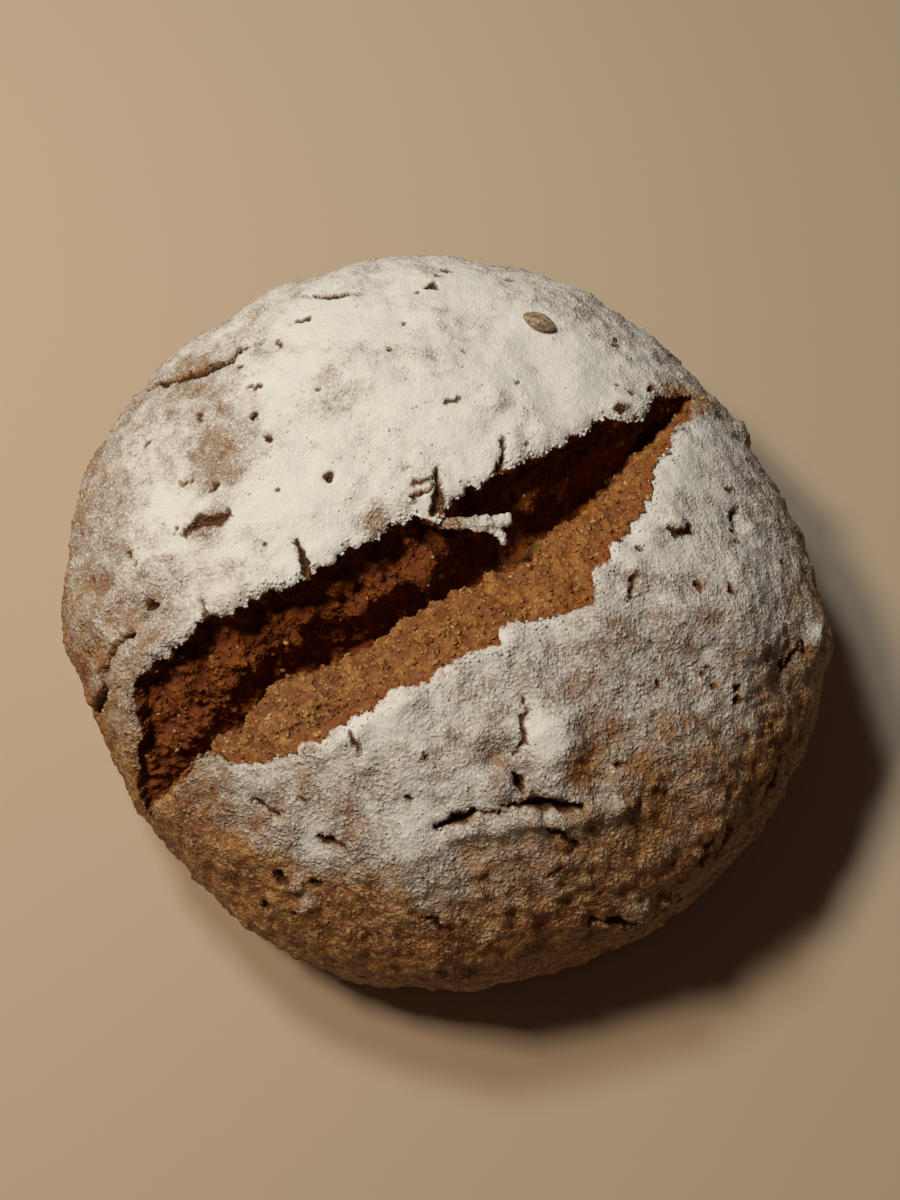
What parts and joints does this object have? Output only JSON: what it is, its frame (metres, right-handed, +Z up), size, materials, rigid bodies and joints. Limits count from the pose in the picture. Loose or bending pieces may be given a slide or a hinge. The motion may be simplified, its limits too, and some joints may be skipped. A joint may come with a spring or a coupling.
{
  "type": "round rye bread loaf",
  "caption": "Round floured rye bread loaf with a flat base and one long deep burst across its crown, its crumb showing between two ragged crust lips.",
  "frame": {"origin": "bottom centre of the bounding box, on the flat base that the loaf rests on", "axes": "+Z up; the burst runs from the lower left (-X, -Y) to the upper right (+X, +Y), at about 41 degrees from +X"},
  "size_m": [0.1996, 0.205, 0.0848],
  "materials": {
    "crust": "matte floured rye crust, bare brown low on the sides, orange-brown crumb in the burst"
  },
  "bodies": {
    "root": {"loaf": "crust"}
  },
  "joints": []
}
